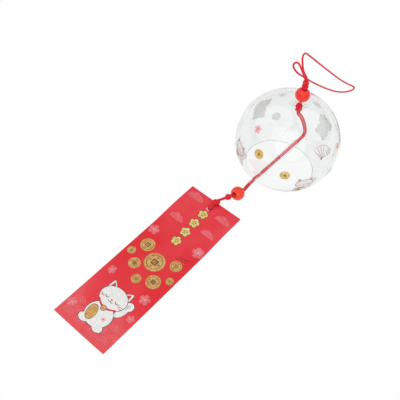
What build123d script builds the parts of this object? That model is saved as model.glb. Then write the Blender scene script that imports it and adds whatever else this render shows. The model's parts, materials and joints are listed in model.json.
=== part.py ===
"""Glass ball wind bell set down on its mouth, with its cord, beads, clapper tube and paper strip."""
import math
import os
from build123d import *

os.makedirs("parts", exist_ok=True)

# Glass bell: a blown ball, cut off at the mouth, with one cord hole at the top
bell_radius = 40.0
glass_wall = 1.6
mouth_depth = 28.0
mouth_edge_radius = 0.5
cord_hole_diameter = 4.2
cord_hole_edge_radius = 0.4

# Which way the bell leans, and where under its rim the clapper tube lies
bell_lean_heading = -21.0
tube_under_rim_turn = 8.4
rim_past_tube_foot = 1.885

# Cord: two strands side by side, with overhand knots
cord_diameter = 1.4
strand_spacing = 1.5
knot_groove = 0.6
top_knot_length = 3.4
top_knot_width = 4.8
second_knot_length = 3.2
second_knot_width = 4.2
inner_knot_length = 7.0
inner_knot_width = 5.0
inner_knot_slack = 2.6
bead_knot_length = 6.6
bead_knot_width = 4.4
strip_knot_length = 5.6
strip_knot_width = 4.2
outer_knot_wraps = 2
long_knot_wraps = 3
knot_bite = 0.3
tail_bite = 0.8
cut_end_length = 3.3
arc_share = 0.45

# Beads
bead_radius = 5.5
bead_bore = 3.4
bead_edge_radius = 0.3

# Clapper: a glass tube threaded on the two strands, its foot on the table under the rim
tube_length = 50.0
tube_outer_diameter = 4.4
tube_inner_diameter = 3.3
tube_edge_radius = 0.2
tube_foot_x = 50.4
tube_foot_y = 8.3
tube_lean = 39.0
tube_heading = -23.3

# Paper strip, lying on the table and lifted a little where the cord passes under it
strip_length = 142.5
strip_width = 48.5
strip_thickness = 0.4
strip_top_x = 18.9
strip_axis_y = 15.9
strip_lift = 1.75
strip_lifted_length = 16.0
strip_slope_length = 30.0
strip_hole_diameter = 4.5
strip_hole_inset = 7.9

# How the lower bead, the knots and the cut end lie on the table and on the strip
bead_heading = Vector(-0.87, 0.05, 0.49).normalized()
bead_knot_axis = Vector(-0.72, 0.58, -0.38).normalized()
strip_knot_axis = Vector(-0.976, 0.218, 0)
cut_end_axis = Vector(-0.42, -0.86, -0.28).normalized()
tail_to_bead_x = -5.3
tail_to_bead_y = 0.3
strip_knot_overhang = 1.5
strip_knot_offset = 1.3

# Gaps between pieces that move on each other
running_gap = 0.3
knot_gap = 1.6
inner_knot_gap = 1.8
link_gap = 0.6
swing_gap = 1.0
loop_gap = 1.9

# Routes of the cord, as offsets from the point that each stretch starts at
loop_route = [
    (0.7, -0.3, 0.0),
    (2.1, 3.5, 3.1),
    (4.6, 7.5, 5.0),
    (9.2, 11.2, 5.4),
    (15.5, 14.2, 3.9),
    (21.7, 15.7, 0.6),
    (30.0, 16.1, -8.0),
    (46.6, 16.0, -26.4),
    (66.6, 16.1, -47.2),
    (88.1, 15.5, -68.7),
    (106.1, 14.3, -85.3),
    (111.6, 12.0, -89.8),
    (111.2, 9.0, -89.8),
    (106.9, 8.8, -89.8),
    (99.0, 11.1, -88.1),
    (83.1, 13.1, -78.0),
    (60.1, 12.4, -58.2),
    (34.4, 10.3, -34.2),
    (17.6, 9.0, -17.7),
    (9.6, 9.1, -9.2),
    (4.1, 10.4, -3.2),
    (1.9, 12.7, 1.3),
    (1.7, 13.5, 4.3),
    (2.6, 12.3, 6.5),
    (2.5, 9.9, 7.3),
    (1.3, 7.1, 6.1),
    (0.1, 3.7, 3.3),
    (-0.8, 0.3, 0.0),
]
clapper_bend_above_tube = 8.4
clapper_shares = [
    (0.0, 0.0, 0.0),
    (0.56, 0.33, 0.18),
    (0.94, 0.70, 0.56),
    (1.0, 1.0, 1.0),
]
tail_route = [
    (0.0, 0.0, 0.0),
    (-3.0, -0.35, -0.1),
    (-6.4, -0.9, 0.4),
    (-9.7, -1.5, 1.7),
]
tie_route = [
    (0.0, 0.0, 0.0),
    (-2.4, 0.1, -0.4),
    (-5.2, 0.1, -0.6),
    (-5.2, 0.1, -3.75),
    (-1.2, 0.0, -3.75),
    (2.4, -0.3, -3.75),
    (5.0, -0.8, -3.7),
    (5.6, -1.0, -2.2),
    (5.0, -1.0, -0.9),
]

# The clapper tube stands on its foot and leans up into the bell
up = Vector(0, 0, 1)
tube_tilt = math.radians(tube_lean)
tube_turn = math.radians(tube_heading)
tube_run = Vector(math.cos(tube_turn), math.sin(tube_turn), 0)
tube_axis = tube_run * math.cos(tube_tilt) + up * math.sin(tube_tilt)
tube_foot = Vector(tube_foot_x, tube_foot_y, tube_outer_diameter / 2 * math.cos(tube_tilt))
tube_top = tube_foot + tube_axis * tube_length
tail_start = tube_foot - tube_axis * (swing_gap + running_gap)

# The tube lifts one side of the rim until the rim's inner edge clears it
mouth_radius = math.sqrt(bell_radius**2 - mouth_depth**2)
rim_width = mouth_radius - math.sqrt((bell_radius - glass_wall) ** 2 - mouth_depth**2)
tube_rise = (rim_past_tube_foot + rim_width - mouth_edge_radius) * math.tan(tube_tilt)
tube_height_at_rim = tube_foot.Z + tube_rise + tube_outer_diameter / 2 / math.cos(tube_tilt)
rim_lift = (tube_height_at_rim + running_gap) / (1 - rim_width / (2 * mouth_radius))
lean = math.asin(rim_lift / (2 * mouth_radius))
lean_run = Vector(math.cos(math.radians(bell_lean_heading)), math.sin(math.radians(bell_lean_heading)), 0)
bell_axis = lean_run * math.sin(lean) + up * math.cos(lean)
highest_rim = lean_run * -math.cos(lean) + up * math.sin(lean)
rim_turn = math.radians(tube_under_rim_turn)
rim_over_tube = highest_rim * math.cos(rim_turn) + bell_axis.cross(highest_rim) * math.sin(rim_turn)
mouth_over_tube = tube_foot + tube_run * rim_past_tube_foot - rim_over_tube * mouth_radius
mouth_centre = Vector(mouth_over_tube.X, mouth_over_tube.Y, mouth_radius * math.sin(lean))
bell_centre = mouth_centre + bell_axis * mouth_depth
bell_plane = Plane(origin=bell_centre, z_dir=bell_axis)

# The bead sits on the cord hole, with the knots above it and inside the bell
seat_radius = cord_hole_diameter / 2 + cord_hole_edge_radius
bead_half_bore = math.sqrt(bead_radius**2 - (bead_bore / 2) ** 2)
bead_above_centre = math.sqrt(bell_radius**2 - seat_radius**2) + math.sqrt(bead_radius**2 - seat_radius**2)
top_bead_centre = bell_centre + bell_axis * (bead_above_centre + running_gap)
top_knot_foot = top_bead_centre + bell_axis * (bead_half_bore + 2 * running_gap)
second_knot_foot = top_knot_foot + up * top_knot_length
loop_start = second_knot_foot + up * (second_knot_length + loop_gap)
inner_knot_top = bell_centre + bell_axis * (bell_radius - glass_wall - inner_knot_slack)
clapper_start = inner_knot_top - up * (inner_knot_length + inner_knot_gap)

# The lower bead lies on the table where the tail runs into it
tail_mouth = tail_start + Vector(*tail_route[-1])
lower_bead_centre = Vector(tail_mouth.X + tail_to_bead_x, tail_mouth.Y + tail_to_bead_y, bead_radius)
bead_knot_foot = lower_bead_centre + bead_heading * (bead_half_bore + knot_gap)
bead_knot_end = bead_knot_foot + bead_knot_axis * bead_knot_length

# The strip's knot lies on the strip, over its top edge
strip_top_face = strip_lift + strip_thickness
strip_knot_foot = Vector(
    strip_top_x + strip_knot_overhang,
    strip_axis_y - strip_knot_offset,
    strip_top_face + running_gap + strip_knot_width / 2,
)
strip_knot_end = strip_knot_foot + strip_knot_axis * strip_knot_length
flap_pivot = strip_knot_foot - strip_knot_axis * (cord_diameter / 2 + 2 * running_gap)
strip_hole_x = strip_top_x - strip_hole_inset


def along(start: Vector, offsets: list) -> list:
    """Points of a route that starts at start."""
    return [start + Vector(*offset) for offset in offsets]


def beside(points: list, normal: Vector, distance: float) -> list:
    """Points of a strand that runs beside a route, square to this normal."""
    runs = [(b - a).normalized() for a, b in zip(points, points[1:])]
    strand = []
    for point, before, after in zip(points, runs[:1] + runs, runs + runs[-1:]):
        side = normal.cross(before + after).normalized()
        strand.append(point + side * (distance / side.dot(normal.cross(before).normalized())))
    return strand


def cord_tube(label: str, points: list):
    """One strand of cord: straight runs joined by arcs as large as the runs allow."""
    runs = [(b - a).length for a, b in zip(points, points[1:])]
    radii = []
    for i in range(1, len(points) - 1):
        turn = (points[i] - points[i - 1]).get_angle(points[i + 1] - points[i])
        radii.append(arc_share * min(runs[i - 1], runs[i]) / math.tan(math.radians(turn / 2)))
    with BuildPart() as strand:
        with BuildLine() as path:
            FilletPolyline(*points, radius=radii)
        with BuildSketch(Plane(origin=path.line @ 0, z_dir=path.line % 0)):
            Circle(cord_diameter / 2)
        sweep()
    length = sum(edge.length for edge in path.edges())
    section = math.pi * cord_diameter**2 / 4
    print(f"{label}: length {length:.1f} mm, volume ratio {strand.part.volume / (section * length):.3f}")
    print("  radii " + " ".join(f"{radius:.1f}" for radius in radii))
    return strand.part


def wound_knot(foot: Vector, axis: Vector, length: float, width: float, wraps: int):
    """A knot as a short barrel with one bulge for each wrap of cord."""
    base = Plane(origin=foot, z_dir=axis)
    neck = width / 2 - knot_groove
    with BuildPart() as knot:
        with BuildSketch(Plane(origin=foot, x_dir=base.x_dir, z_dir=-base.y_dir)):
            with BuildLine():
                Polyline((0, length), (0, 0), (neck, 0))
                for wrap in range(wraps):
                    low = length * wrap / wraps
                    high = length * (wrap + 1) / wraps
                    ThreePointArc((neck, low), (width / 2, (low + high) / 2), (neck, high))
                Line((neck, length), (0, length))
            make_face()
        revolve(axis=Axis(foot, base.z_dir))
    return knot.part


def threaded_bead(centre: Vector, axis: Vector):
    """A round bead with a bore along axis."""
    with BuildPart(Plane(origin=centre, z_dir=axis)) as bead:
        Sphere(bead_radius)
        Cylinder(bead_bore / 2, 2 * bead_radius, mode=Mode.SUBTRACT)
        round_edges = bead.edges().filter_by(GeomType.CIRCLE)
        fillet(round_edges.filter_by(lambda edge: edge.radius < bead_bore), bead_edge_radius)
    return bead.part


def keep(piece, label: str):
    """Label a finished piece and write it."""
    piece.label = label
    export_step(piece, f"parts/{label}.step")


# Glass bell
with BuildPart(bell_plane) as glass_bell:
    Sphere(bell_radius)
    Sphere(bell_radius - glass_wall, mode=Mode.SUBTRACT)
    with Locations((0, 0, -mouth_depth)):
        Cylinder(bell_radius, bell_radius, align=(Align.CENTER, Align.CENTER, Align.MAX), mode=Mode.SUBTRACT)
    with Locations((0, 0, bell_radius)):
        Cylinder(cord_hole_diameter / 2, 4 * glass_wall, mode=Mode.SUBTRACT)
    round_edges = glass_bell.edges().filter_by(GeomType.CIRCLE)
    fillet(round_edges.filter_by(lambda edge: edge.radius < seat_radius), cord_hole_edge_radius)
    round_edges = glass_bell.edges().filter_by(GeomType.CIRCLE)
    mouth_edges = round_edges.filter_by(lambda edge: (edge.arc_center - bell_centre).dot(bell_axis) < 0)
    fillet(mouth_edges.filter_by(lambda edge: edge.radius > mouth_radius - 2 * glass_wall), mouth_edge_radius)
keep(glass_bell.part, "glass_bell")

# Beads
keep(threaded_bead(top_bead_centre, bell_axis), "top_bead")
keep(threaded_bead(lower_bead_centre, bead_heading), "lower_bead")

# Clapper tube
with BuildPart(Plane(origin=tube_foot, z_dir=tube_axis)) as clapper_tube:
    Cylinder(tube_outer_diameter / 2, tube_length, align=(Align.CENTER, Align.CENTER, Align.MIN))
    Cylinder(
        tube_inner_diameter / 2,
        tube_length,
        align=(Align.CENTER, Align.CENTER, Align.MIN),
        mode=Mode.SUBTRACT,
    )
    fillet(clapper_tube.edges().filter_by(GeomType.CIRCLE), tube_edge_radius)
keep(clapper_tube.part, "clapper_tube")

# Knots
keep(wound_knot(top_knot_foot, up, top_knot_length, top_knot_width, outer_knot_wraps), "top_knot")
keep(wound_knot(second_knot_foot, up, second_knot_length, second_knot_width, outer_knot_wraps), "second_knot")
keep(wound_knot(inner_knot_top, -up, inner_knot_length, inner_knot_width, long_knot_wraps), "inner_knot")
keep(
    wound_knot(bead_knot_foot, bead_knot_axis, bead_knot_length, bead_knot_width, long_knot_wraps),
    "bead_knot",
)
keep(
    wound_knot(strip_knot_foot, strip_knot_axis, strip_knot_length, strip_knot_width, outer_knot_wraps),
    "strip_knot",
)

# The two strands through the top bead and the cord hole
with BuildPart() as neck_strands:
    with BuildSketch(Plane(origin=inner_knot_top - bell_axis * knot_bite, z_dir=bell_axis)):
        with GridLocations(strand_spacing, 0, 2, 1):
            Circle(cord_diameter / 2)
    extrude(amount=(top_knot_foot - inner_knot_top).length + 2 * knot_bite)
keep(neck_strands.part, "neck_strands")

# Hanging loop
keep(cord_tube("hanging_loop", along(loop_start, loop_route)), "hanging_loop")

# Two strands from the inner knot down through the clapper tube, one inside the other at the bend
bend = tube_top + tube_axis * clapper_bend_above_tube
span = bend - clapper_start
across = span.cross(tube_foot - bend).normalized()
inside_offsets = [(x * span.X, y * span.Y, z * span.Z) for x, y, z in clapper_shares]
inside_points = along(clapper_start, inside_offsets)
inside_points.append(tube_foot + tube_axis * running_gap)
for side, label in ((1, "clapper_strand_left"), (-1, "clapper_strand_right")):
    keep(cord_tube(label, beside(inside_points, across, side * strand_spacing / 2)), label)

# Two strands from the tube through the lower bead, up to the knot behind it
tail_points = along(tail_start, tail_route)
tail_points.append(bead_knot_foot + bead_heading * tail_bite)
for side, label in ((1, "tail_strand_left"), (-1, "tail_strand_right")):
    keep(cord_tube(label, beside(tail_points, -up, side * strand_spacing / 2)), label)

# Link of cord between the two knots, round at the strip's end
link_vector = flap_pivot - bead_knot_end
link_axis = link_vector.normalized()
link_start = bead_knot_end + link_axis * link_gap
with BuildPart(Plane(origin=link_start, z_dir=link_axis)) as link_cord:
    link_length = link_vector.length - link_gap
    Cylinder(cord_diameter / 2, link_length, align=(Align.CENTER, Align.CENTER, Align.MIN))
    with Locations((0, 0, link_length)):
        Sphere(cord_diameter / 2)
keep(link_cord.part, "link_cord")

# Two strands through the strip's hole and round its top edge
tie_start = strip_knot_end - strip_knot_axis * knot_bite
for side, label in ((1, "tie_strand_left"), (-1, "tie_strand_right")):
    shift = Vector(0, side * strand_spacing / 2, 0)
    keep(cord_tube(label, [point + shift for point in along(tie_start, tie_route)]), label)

# Cut end of the cord beside the strip's knot
first_wrap = strip_knot_foot + strip_knot_axis * (strip_knot_length / (2 * outer_knot_wraps))
cut_end_foot = first_wrap + cut_end_axis * (strip_knot_width / 2 - knot_bite)
with BuildPart(Plane(origin=cut_end_foot, z_dir=cut_end_axis)) as cut_end:
    Cylinder(cord_diameter / 2, cut_end_length, align=(Align.CENTER, Align.CENTER, Align.MIN))
keep(cut_end.part, "cut_end")

# Paper strip
slope_start_x = strip_top_x - strip_lifted_length
slope_end_x = slope_start_x - strip_slope_length
strip_end_x = strip_top_x - strip_length
with BuildPart() as paper_strip:
    with BuildSketch(Plane.XZ.offset(-strip_axis_y)):
        with BuildLine():
            Line((strip_end_x, 0), (slope_end_x, 0))
            Spline(
                (slope_end_x, 0),
                (slope_start_x, strip_lift),
                tangents=[(1, 0), (1, 0)],
            )
            Polyline(
                (slope_start_x, strip_lift),
                (strip_top_x, strip_lift),
                (strip_top_x, strip_top_face),
                (slope_start_x, strip_top_face),
            )
            Spline(
                (slope_start_x, strip_top_face),
                (slope_end_x, strip_thickness),
                tangents=[(-1, 0), (-1, 0)],
            )
            Polyline((slope_end_x, strip_thickness), (strip_end_x, strip_thickness), (strip_end_x, 0))
        make_face()
    extrude(amount=strip_width / 2, both=True)
    with Locations((strip_hole_x, strip_axis_y, strip_lift)):
        Cylinder(strip_hole_diameter / 2, 4 * strip_thickness, mode=Mode.SUBTRACT)
keep(paper_strip.part, "paper_strip")
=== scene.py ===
"""Finishes, meshes and studio for a clear glass wind bell.

The bell stands on its mouth, with its cord, beads, clapper tube and printed strip.
"""
import json
import logging
import math
from dataclasses import dataclass, field
from enum import Enum
from functools import cached_property
from typing import Callable, Sequence

import bmesh
import bpy
from mathutils import Matrix, Vector


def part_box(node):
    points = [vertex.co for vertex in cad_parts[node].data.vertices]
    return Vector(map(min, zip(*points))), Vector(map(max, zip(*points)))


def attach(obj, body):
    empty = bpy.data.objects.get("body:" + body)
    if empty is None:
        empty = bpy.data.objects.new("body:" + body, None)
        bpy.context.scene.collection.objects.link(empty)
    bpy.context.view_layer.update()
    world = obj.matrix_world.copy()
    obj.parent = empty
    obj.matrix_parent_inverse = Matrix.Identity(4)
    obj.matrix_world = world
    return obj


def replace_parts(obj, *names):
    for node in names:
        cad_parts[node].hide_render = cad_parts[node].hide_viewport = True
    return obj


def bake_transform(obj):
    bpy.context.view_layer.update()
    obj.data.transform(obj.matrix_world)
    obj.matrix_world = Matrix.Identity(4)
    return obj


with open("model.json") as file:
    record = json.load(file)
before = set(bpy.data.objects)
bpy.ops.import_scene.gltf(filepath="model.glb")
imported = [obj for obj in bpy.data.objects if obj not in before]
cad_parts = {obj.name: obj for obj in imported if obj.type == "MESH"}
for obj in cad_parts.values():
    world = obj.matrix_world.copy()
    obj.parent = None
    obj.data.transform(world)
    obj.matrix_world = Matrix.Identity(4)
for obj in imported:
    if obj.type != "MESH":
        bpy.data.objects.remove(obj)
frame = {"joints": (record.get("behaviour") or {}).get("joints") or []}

log = logging.getLogger("wind_bell")

MM = 0.001
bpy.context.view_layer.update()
UP = Vector((0, 0, 1))

# Edges that turn by more degrees than this stay crisp
ROUND_FORM = 80.0
TURNED_FORM = 60.0
FLAT_FORM = 30.0

# The strip's knot lies along this line, just past the pivot that the strip flaps on
STRIP_KNOT_AXIS = Vector((-0.976, 0.218, 0)).normalized()
STRIP_KNOT_START = 1.3 * MM
STRIP_KNOT_LENGTH = 5.6 * MM

# The inner knot stands this far above the clapper's pivot
INNER_KNOT_RISE = 8.8 * MM
TUBE_LENGTH = 50.0 * MM

Point = tuple[float, float]
Span = tuple[float, float]
Place = Callable[[Point, float], Vector]
Plan = tuple[list[Point], list[tuple[int, ...]]]
Material = bpy.types.Material
Piece = bpy.types.Object
Socket = bpy.types.NodeSocket


def joint_place(name: str) -> Vector:
    """Where a joint of the frame turns, in metres."""
    return Vector(next(j["pos_m"] for j in frame["joints"] if j["name"] == name))


def joint_axis(name: str) -> Vector:
    """The direction that a joint of the frame turns about."""
    return Vector(next(j["axis"] for j in frame["joints"] if j["name"] == name)).normalized()


def millimetres(*offset: float) -> Vector:
    """A vector in metres from its three parts in millimetres."""
    return Vector(offset) * MM


def stand_for(piece: Piece, slot: str, body: str, *nodes: str) -> Piece:
    """Let a piece take the place of nodes and ride on a body."""
    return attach(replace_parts(piece, *nodes), body)


def tint(code: str) -> tuple[float, float, float, float]:
    """A linear colour from a hex code as printed on a swatch.

    Args:
        code: Six hex digits.

    Returns:
        Red, green, blue and alpha for a shader's socket.
    """
    parts = [int(code[i:i + 2], 16) / 255 for i in (0, 2, 4)]
    linear = [p / 12.92 if p <= 0.04045 else ((p + 0.055) / 1.055) ** 2.4 for p in parts]
    return (*linear, 1.0)


class NodeSheet:
    """Short calls for the nodes of one material or world."""

    def __init__(self, tree: bpy.types.NodeTree) -> None:
        """Work on a tree of nodes."""
        self.tree = tree

    def put(self, socket: Socket, value: object) -> None:
        """Link a socket to another one, or set it to a plain value.

        Args:
            socket: The socket.
            value: Another socket, or a plain value.
        """
        if isinstance(value, Socket):
            self.tree.links.new(value, socket)
        else:
            socket.default_value = value

    def node(self, kind: str, **values: object) -> bpy.types.Node:
        """A new node with some of its sockets linked or set.

        Args:
            kind: The node's type, without the first word that all share.
            values: Sockets or plain values by name, with underscores for spaces.

        Returns:
            The node.
        """
        node = self.tree.nodes.new("ShaderNode" + kind)
        for name, value in values.items():
            self.put(node.inputs[name.replace("_", " ")], value)
        return node

    def between(self, value: Socket, low: float, high: float, span: Span = (0.0, 1.0)) -> Socket:
        """A value within a span turned into one from low to high."""
        ends = {"From_Min": span[0], "From_Max": span[1], "To_Min": low, "To_Max": high}
        return self.node("MapRange", Value=value, **ends).outputs["Result"]

    def calculate(self, operation: str, *terms: object) -> Socket:
        """One step of arithmetic on sockets and plain numbers.

        Args:
            operation: The kind of step.
            terms: Its terms.

        Returns:
            The value socket.
        """
        node = self.node("Math")
        node.operation = operation
        for socket, term in zip(node.inputs, terms):
            self.put(socket, term)
        return node.outputs["Value"]

    def seen_directly(self) -> Socket:
        """A value of 1 for rays from the camera, from gloss or through glass, and 0 for the rest.

        Returns:
            The value socket.
        """
        rays = self.node("LightPath").outputs
        either = self.calculate("MAXIMUM", rays["Is Camera Ray"], rays["Is Glossy Ray"])
        return self.calculate("MAXIMUM", either, rays["Is Transmission Ray"])


class FinishSheet(NodeSheet):
    """A material with one main shader, and calls for what the finishes share."""

    def __init__(self, name: str) -> None:
        """Start a material of that name.

        Args:
            name: The material's name.
        """
        self.material = bpy.data.materials.new(name)
        self.material.use_nodes = True
        super().__init__(self.material.node_tree)
        self.tree.nodes.clear()
        self.shader = self.node("BsdfPrincipled")
        self.output = self.node("OutputMaterial", Surface=self.shader.outputs["BSDF"])
        self.place = self.node("TexCoord").outputs["Object"]

    def set(self, **values: object) -> None:
        """Link or set sockets of the main shader, named with underscores for spaces."""
        for name, value in values.items():
            self.put(self.shader.inputs[name.replace("_", " ")], value)

    def noise(self, scale: float, detail: float, stretch: Sequence[float] | None = None) -> Socket:
        """Cloudy values over the surface.

        Args:
            scale: Cells for each metre.
            detail: How many finer layers are added.
            stretch: Scale along each axis, for grain that runs one way.

        Returns:
            The value socket.
        """
        source = self.place
        if stretch is not None:
            source = self.node("Mapping", Vector=source, Scale=stretch).outputs["Vector"]
        return self.node("TexNoise", Vector=source, Scale=scale, Detail=detail).outputs["Fac"]

    def ramp(self, value: Socket, stops: Sequence[tuple[float, str]]) -> Socket:
        """Colours for a value.

        Args:
            value: The value socket.
            stops: Pairs of place and hex code.

        Returns:
            The colour socket.
        """
        node = self.node("ValToRGB", Fac=value)
        elements = node.color_ramp.elements
        for index, (place, code) in enumerate((stops[0], stops[-1])):
            elements[index].position, elements[index].color = place, tint(code)
        for place, code in stops[1:-1]:
            elements.new(place).color = tint(code)
        return node.outputs["Color"]

    def eased(self, value: Socket, low: float, high: float, span: Span) -> Socket:
        """A value within a span turned into one from low to high, slowly at both ends.

        Args:
            value: The value socket.
            low: Result at the span's start.
            high: Result at its end.
            span: The span.

        Returns:
            The value socket.
        """
        result = self.between(value, low, high, span)
        result.node.interpolation_type = "SMOOTHSTEP"
        return result

    def bump(self, height: Socket, depth: float, strength: float) -> None:
        """Raise the surface a little where height is large.

        Args:
            height: The value socket.
            depth: The real depth in metres.
            strength: Share of the effect.
        """
        relief = self.node("Bump", Strength=strength, Distance=depth, Height=height)
        self.set(Normal=relief.outputs["Normal"])


@dataclass(frozen=True)
class GrainedFinish:
    """A finish of two tones that a fine grain mixes.

    Attributes:
        name: The material's name.
        dark: Hex code of the darker tone.
        light: Hex code of the lighter tone.
        grain: The grain's scale and detail.
        band: Levels of the grain where the dark tone ends and where the light one starts.
        stretch: The grain's scale along each axis.
        gloss: Roughness at the low and at the high end of the gloss's grain.
        gloss_grain: Scale and detail of that grain, where it is another one.
        relief: Depth in metres and strength of the grain's bumps.
        sockets: Other sockets of the shader.
    """

    name: str
    dark: str
    light: str
    grain: Span
    band: Span
    stretch: tuple[float, float, float] | None = None
    gloss: Span | None = None
    gloss_grain: Span | None = None
    relief: Span | None = None
    sockets: tuple[tuple[str, float], ...] = ()

    def make(self) -> Material:
        """The finish's material.

        Returns:
            The material.
        """
        sheet = FinishSheet(self.name)
        grain = sheet.noise(*self.grain, self.stretch)
        sheet.set(Base_Color=sheet.ramp(grain, list(zip(self.band, (self.dark, self.light)))))
        if self.gloss:
            gloss = sheet.noise(*self.gloss_grain) if self.gloss_grain else grain
            sheet.set(Roughness=sheet.between(gloss, *self.gloss))
        if self.relief:
            sheet.bump(grain, *self.relief)
        sheet.set(**dict(self.sockets))
        return sheet.material


@dataclass(frozen=True)
class CordFinish(GrainedFinish):
    """Braided red polyester cord with a soft sheen."""

    name: str = "red_braid"
    dark: str = "CC1024"
    light: str = "F62E42"
    grain: Span = (5200, 4)
    band: Span = (0.30, 0.70)
    gloss: Span = (0.62, 0.44)
    relief: Span = (0.03 * MM, 0.6)
    sockets: tuple = (("Sheen_Weight", 0.04), ("Sheen_Roughness", 0.4), ("Specular_IOR_Level", 0.25))


@dataclass(frozen=True)
class BeadFinish(GrainedFinish):
    """Glossy moulded bead, a little clear, with faint swirls in its colour."""

    grain: Span = (150, 1)
    band: Span = (0.32, 0.68)
    stretch: tuple[float, float, float] = (1.0, 1.0, 2.6)
    gloss: Span = (0.06, 0.12)
    gloss_grain: Span = (400, 2)
    sockets: tuple = (
        ("Coat_Weight", 0.3),
        ("Coat_Roughness", 0.03),
        ("Transmission_Weight", 0.12),
        ("IOR", 1.45),
    )


@dataclass(frozen=True)
class GroundFinish(GrainedFinish):
    """Glass ground dull, with a fine grit, as the mouth's cut edge shows it."""

    name: str = "ground_edge"
    dark: str = "E2E7E6"
    light: str = "F0F3F2"
    grain: Span = (4200, 4)
    band: Span = (0.35, 0.65)
    gloss: Span = (0.35, 0.6)
    relief: Span = (0.02 * MM, 0.5)
    sockets: tuple = (("Transmission_Weight", 0.15), ("IOR", 1.5))


@dataclass(frozen=True)
class PaperFinish(GrainedFinish):
    """Bare white paper, as the card's cut edges show it."""

    name: str = "bare_paper"
    dark: str = "DDD8D3"
    light: str = "F2EFEC"
    grain: Span = (3200, 5)
    band: Span = (0.3, 0.7)
    relief: Span = (0.03 * MM, 0.5)
    sockets: tuple = (("Roughness", 0.8),)


@dataclass(frozen=True)
class GlassFinish:
    """Clear soda glass with the faint ripples of hand work."""

    name: str
    ripple_scale: float
    ripple_depth: float
    density: float
    colour: str = "FDFEFE"
    depth_colour: str = "1C2A2A"

    def make(self) -> Material:
        """The glass material, which takes up a little light along its depth.

        Returns:
            The material.
        """
        sheet = FinishSheet(self.name)
        sheet.set(Base_Color=tint(self.colour), Transmission_Weight=1.0, IOR=1.5, Roughness=0.0)
        sheet.bump(sheet.noise(self.ripple_scale, 1), self.ripple_depth, 0.5)
        depth = sheet.node("VolumeAbsorption", Color=tint(self.depth_colour), Density=self.density)
        sheet.put(sheet.output.inputs["Volume"], depth.outputs["Volume"])
        return sheet.material


@dataclass(frozen=True)
class CardFinish:
    """Smooth card printed red, paler towards its two ends, with a fine paper tooth.

    Attributes:
        ground: Hex code of the red where it is deepest.
        haze: Hex code towards the ends.
        pale: Hex code at the foot.
        deepest: Where the red is deepest along the strip, in metres.
        haze_span: Distances from there between which the haze comes up.
        haze_share: How far the haze lifts the colour.
        foot_span: Where the pale foot is full, and where it starts.
        foot_share: How far the foot lifts the colour.
    """

    ground: str = "E01A28"
    haze: str = "E83844"
    pale: str = "E44C52"
    deepest: float = -0.055
    haze_span: Span = (0.012, 0.062)
    haze_share: float = 0.32
    foot_span: Span = (-0.120, -0.084)
    foot_share: float = 0.3

    def make(self) -> Material:
        """The printed card's material.

        Returns:
            The material.
        """
        sheet = FinishSheet("printed_card")
        along = sheet.node("SeparateXYZ", Vector=sheet.place).outputs["X"]
        away = sheet.calculate("ABSOLUTE", sheet.calculate("SUBTRACT", along, self.deepest))
        haze = sheet.eased(away, 0.0, 1.0, self.haze_span)
        foot = sheet.eased(along, self.foot_share, 0.0, self.foot_span)
        cloud = sheet.noise(30, 2, (0.8, 1.4, 1.0))
        level = sheet.calculate("ADD", sheet.calculate("MULTIPLY_ADD", haze, self.haze_share, cloud), foot)
        stops = ((0.46, self.ground), (0.84, self.haze), (0.92, self.haze), (1.0, self.pale))
        tooth = sheet.noise(2600, 4)
        sheet.set(Base_Color=sheet.ramp(level, stops), Roughness=sheet.between(tooth, 0.34, 0.5))
        sheet.set(Coat_Weight=0.08, Coat_Roughness=0.25, Specular_IOR_Level=0.35)
        sheet.bump(tooth, 0.02 * MM, 0.35)
        return sheet.material


class Ink(Enum):
    """The inks of the prints, each with a darker and a lighter tone."""

    LINE = ("2B211E", "3A2E29")
    WHITE = ("E6E4E2", "F1F0EF")
    GOLD = ("C18A42", "E3B266")
    PALE_GOLD = ("DDBB62", "F0DA8C")
    BRONZE = ("946636", "BB8A50")
    RED = ("C81F2C", "DB3440")
    PINK = ("EFA9AC", "F6C6C7")
    BLUSH = ("DF5A62", "E87980")
    MIST = ("E4505B", "E9656F")
    BACK = ("E6E8E4", "EEF0EC")

    def make(self) -> Material:
        """The ink's material: two tones of colour with a slightly uneven gloss.

        Returns:
            The material.
        """
        name = "ink_" + self.name.lower()
        grains = {"grain": (420, 3), "band": (0.35, 0.65), "gloss": (0.38, 0.55), "gloss_grain": (1500, 3)}
        return GrainedFinish(name, *self.value, **grains).make()


Inks = dict[Ink, Material]


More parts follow.
